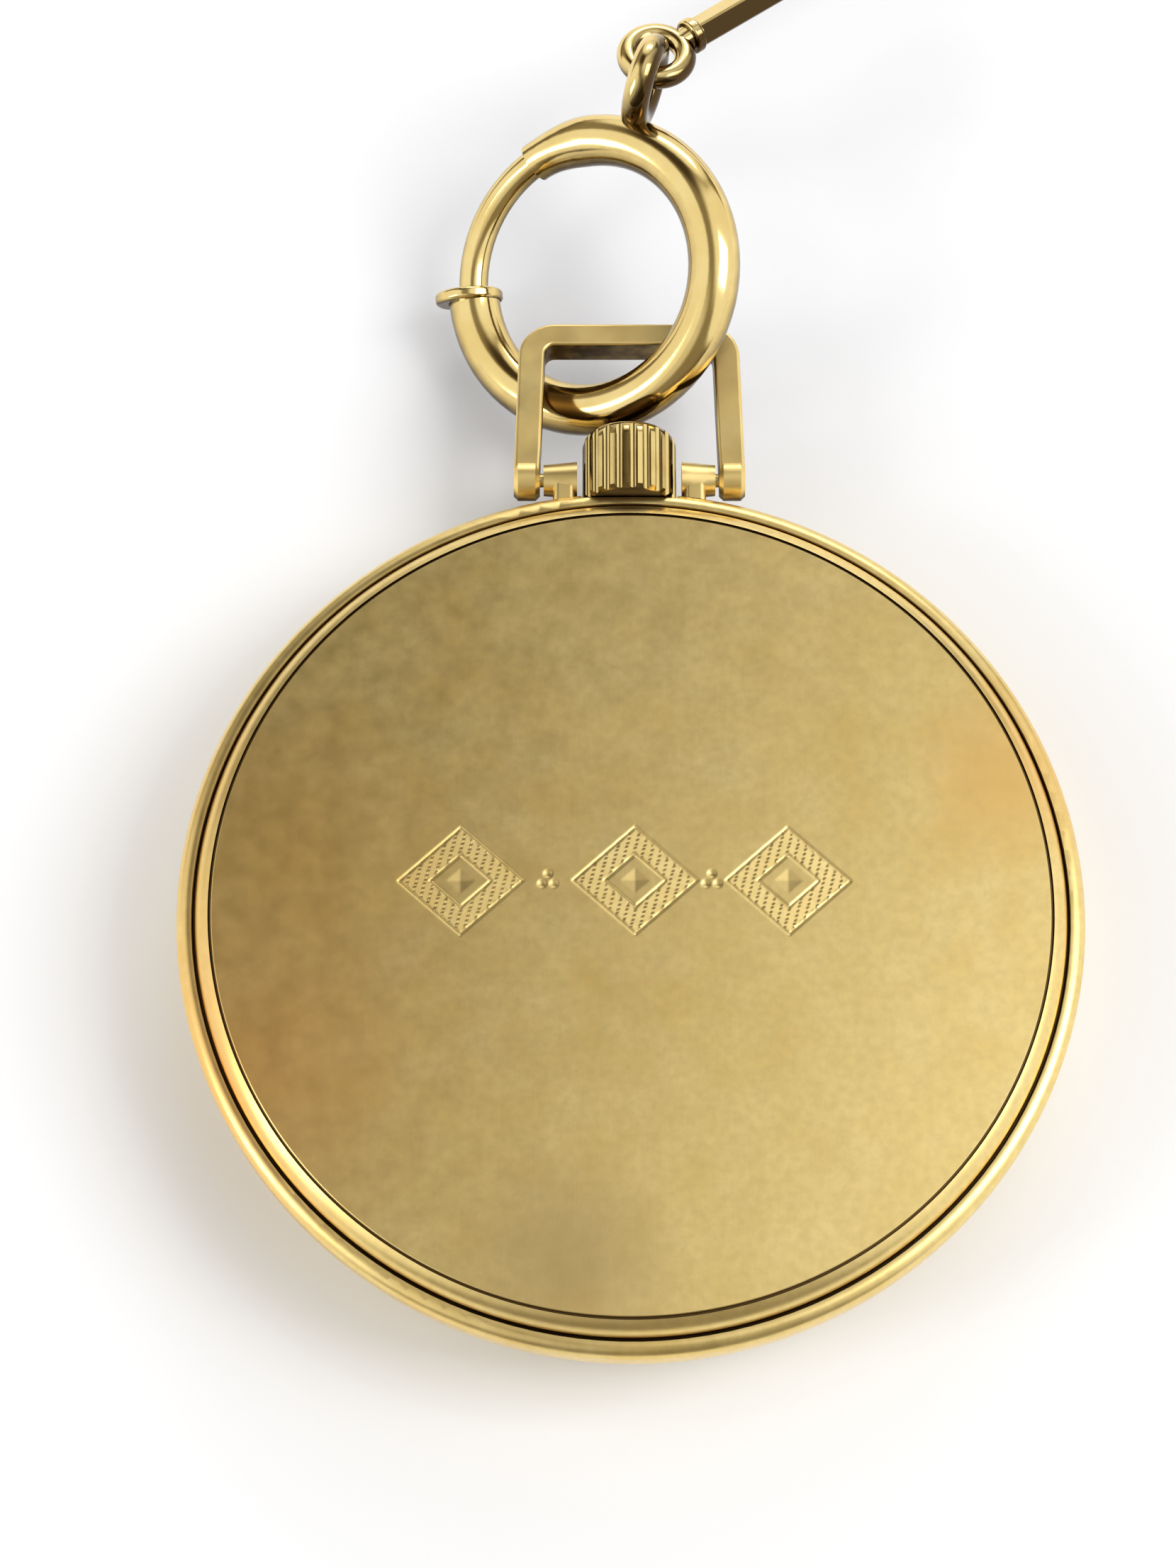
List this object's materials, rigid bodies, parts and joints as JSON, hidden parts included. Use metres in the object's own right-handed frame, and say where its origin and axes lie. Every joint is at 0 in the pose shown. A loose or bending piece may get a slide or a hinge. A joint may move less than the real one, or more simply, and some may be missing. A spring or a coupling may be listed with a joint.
{
  "type": "pocket watch",
  "caption": "Slim open-face pocket watch lying dial down, with a winding crown, a stirrup bow, a bolt ring threaded through it and a bar link.",
  "frame": {"origin": "case axis on the flat outer face of the crystal", "axes": "+Z out of the case back, +Y towards the winding crown"},
  "size_m": [0.045, 0.0839, 0.0132],
  "materials": {
    "gold_satin": "satin yellow gold, fine brushed grain",
    "gold_polished": "polished yellow gold",
    "crystal": "clear mineral crystal",
    "dial_silver": "fine silvered opaline",
    "nickel_plate": "nickel-plated brass, fine stripes",
    "train_gilt": "gilt brass, polished",
    "steel": "polished hardened steel",
    "steel_blued": "heat-blued steel",
    "ruby": "synthetic ruby"
  },
  "bodies": {
    "case": {"case_band": "gold_satin", "bezel": "gold_polished", "crystal": "crystal", "case_screws": "steel_blued", "bow_lugs": "gold_polished", "bow_pin_left": "gold_polished", "bow_pin_right": "gold_polished", "dial": "dial_silver", "hour_markers": "train_gilt", "main_plate": "nickel_plate", "barrel_bridge": "nickel_plate", "train_bridge": "nickel_plate", "pallet_bridge": "nickel_plate", "balance_cock": "nickel_plate", "bridge_screws": "steel_blued", "jewels": "ruby", "hairspring": "steel_blued", "regulator": "steel", "mainspring": "steel_blued", "clutch_lever_spring": "steel", "click_spring": "steel", "click": "steel", "crown_wheel_core": "steel", "crown_wheel_screw": "steel_blued"},
    "back": {"back_cover": "gold_satin"},
    "bow": {"bow": "gold_satin"},
    "bolt_ring": {"ring_tube": "gold_polished", "ring_eye": "gold_polished", "bolt_spring": "steel"},
    "ring_bolt": {"ring_bolt": "gold_polished"},
    "link": {"bar_link": "gold_polished", "link_collars": "gold_polished"},
    "winding_pinion": {"winding_pinion": "steel"},
    "crown": {"crown": "gold_polished", "winding_stem": "steel"},
    "clutch": {"clutch": "steel"},
    "setting_lever": {"setting_lever": "steel"},
    "clutch_lever": {"clutch_lever": "steel"},
    "crown_wheel": {"crown_wheel": "steel"},
    "ratchet": {"ratchet_wheel": "steel", "ratchet_screw": "steel_blued", "barrel_arbor": "steel"},
    "minute": {"minute_hand": "train_gilt", "cannon_pinion": "steel"},
    "hour": {"hour_hand": "train_gilt", "hour_wheel": "train_gilt"},
    "minute_wheel": {"minute_wheel": "train_gilt"},
    "setting_wheel": {"setting_wheel": "steel"},
    "fourth": {"fourth_wheel": "train_gilt", "seconds_hand": "steel_blued"},
    "third": {"third_wheel": "train_gilt"},
    "centre": {"centre_wheel": "train_gilt"},
    "barrel": {"barrel_drum": "train_gilt", "barrel_lid": "train_gilt"},
    "escape": {"escape_wheel": "steel"},
    "pallet": {"pallet_fork": "steel"},
    "balance": {"balance_wheel": "train_gilt", "balance_screws": "train_gilt"}
  },
  "joints": [
    {"name": "back_lift", "type": "slide", "parent": "case", "child": "back", "axis": [0, 0, 1], "range_m": [0, 0.02]},
    {"name": "bow_swing", "type": "hinge", "parent": "case", "child": "bow", "pos_m": [0, 0.02346, 0.0066], "axis": [1, 0, 0], "range_deg": [-75, 70]},
    {"name": "ring_turn", "type": "hinge", "parent": "bow", "child": "bolt_ring", "pos_m": [-0.00189, 0.03507, 0.00658], "axis": [-0.4664, -0.2364, 0.8524], "range_deg": [-45, 10]},
    {"name": "bolt_draw", "type": "hinge", "parent": "bolt_ring", "child": "ring_bolt", "pos_m": [-0.00189, 0.03507, 0.00658], "axis": [-0.4664, -0.2364, 0.8524], "range_deg": [0, 24], "stiffness_Nm_per_rad": 0.002, "springref_deg": -5.73},
    {"name": "link_swing", "type": "hinge", "parent": "bolt_ring", "child": "link", "pos_m": [0.00141, 0.04591, 0.01013], "axis": [-0.0549, -0.2416, -0.9688], "range_deg": [-30, 30]},
    {"name": "crown_turn", "type": "hinge", "parent": "case", "child": "winding_pinion", "pos_m": [0, 0.014, 0.0066], "axis": [0, 1, 0], "continuous": true},
    {"name": "crown_pull", "type": "slide", "parent": "winding_pinion", "child": "crown", "axis": [0, 1, 0], "range_m": [0, 0.00045]},
    {"name": "clutch_slide", "type": "slide", "parent": "winding_pinion", "child": "clutch", "axis": [0, 1, 0], "range_m": [-0.00045, 0]},
    {"name": "setting_lever_turn", "type": "hinge", "parent": "case", "child": "setting_lever", "pos_m": [0.0036, 0.0142, 0.0065], "axis": [0, 0, 1], "range_deg": [-8.2, 0]},
    {"name": "clutch_lever_turn", "type": "hinge", "parent": "case", "child": "clutch_lever", "pos_m": [0.0042, 0.0126, 0.0065], "axis": [0, 0, 1], "range_deg": [0, 7.7]},
    {"name": "crown_wheel_turn", "type": "hinge", "parent": "case", "child": "crown_wheel", "pos_m": [0.0006, 0.01066, 0.0079], "axis": [0, 0, 1], "continuous": true},
    {"name": "ratchet_turn", "type": "hinge", "parent": "case", "child": "ratchet", "pos_m": [-0.0068, 0.0059, 0.0079], "axis": [0, 0, 1], "continuous": true},
    {"name": "minute_turn", "type": "hinge", "parent": "case", "child": "minute", "pos_m": [0, 0, 0.0051], "axis": [0, 0, 1], "continuous": true},
    {"name": "hour_turn", "type": "hinge", "parent": "case", "child": "hour", "pos_m": [0, 0, 0.0048], "axis": [0, 0, 1], "continuous": true},
    {"name": "minute_wheel_turn", "type": "hinge", "parent": "case", "child": "minute_wheel", "pos_m": [-0.001, 0.0047, 0.0051], "axis": [0, 0, 1], "continuous": true},
    {"name": "setting_wheel_turn", "type": "hinge", "parent": "case", "child": "setting_wheel", "pos_m": [0.0005, 0.0097, 0.0051], "axis": [0, 0, 1], "continuous": true},
    {"name": "fourth_turn", "type": "hinge", "parent": "case", "child": "fourth", "pos_m": [0, -0.009, 0.007], "axis": [0, 0, 1], "continuous": true},
    {"name": "third_turn", "type": "hinge", "parent": "case", "child": "third", "pos_m": [0.00475, -0.00541, 0.0061], "axis": [0, 0, 1], "continuous": true},
    {"name": "centre_turn", "type": "hinge", "parent": "case", "child": "centre", "pos_m": [0, 0, 0.0068], "axis": [0, 0, 1], "continuous": true},
    {"name": "barrel_turn", "type": "hinge", "parent": "case", "child": "barrel", "pos_m": [-0.0068, 0.0059, 0.0062], "axis": [0, 0, 1], "continuous": true},
    {"name": "escape_turn", "type": "hinge", "parent": "case", "child": "escape", "pos_m": [-0.005, -0.0107, 0.0064], "axis": [0, 0, 1], "continuous": true},
    {"name": "pallet_rock", "type": "hinge", "parent": "case", "child": "pallet", "pos_m": [-0.00757, -0.00896, 0.0064], "axis": [0, 0, 1], "range_deg": [-4, 4]},
    {"name": "balance_swing", "type": "hinge", "parent": "case", "child": "balance", "pos_m": [-0.0109, -0.0067, 0.0073], "axis": [0, 0, 1], "range_deg": [-135, 135], "stiffness_Nm_per_rad": 0.00000001}
  ],
  "couplings": [
    {"joint": "clutch_slide", "follows": "crown_pull", "ratio": -1},
    {"joint": "setting_lever_turn", "follows": "crown_pull", "rad_per_m": -318.04},
    {"joint": "clutch_lever_turn", "follows": "crown_pull", "rad_per_m": 298.65},
    {"joint": "crown_wheel_turn", "follows": "crown_turn", "ratio": -0.5},
    {"joint": "ratchet_turn", "follows": "crown_turn", "ratio": 0.3},
    {"joint": "hour_turn", "follows": "minute_turn", "ratio": 0.083333},
    {"joint": "minute_wheel_turn", "follows": "minute_turn", "ratio": -0.33333},
    {"joint": "setting_wheel_turn", "follows": "minute_turn", "ratio": 0.75},
    {"joint": "third_turn", "follows": "fourth_turn", "ratio": -0.13333},
    {"joint": "centre_turn", "follows": "fourth_turn", "ratio": 0.016667},
    {"joint": "barrel_turn", "follows": "fourth_turn", "ratio": -0.0025641},
    {"joint": "escape_turn", "follows": "fourth_turn", "ratio": -10}
  ]
}
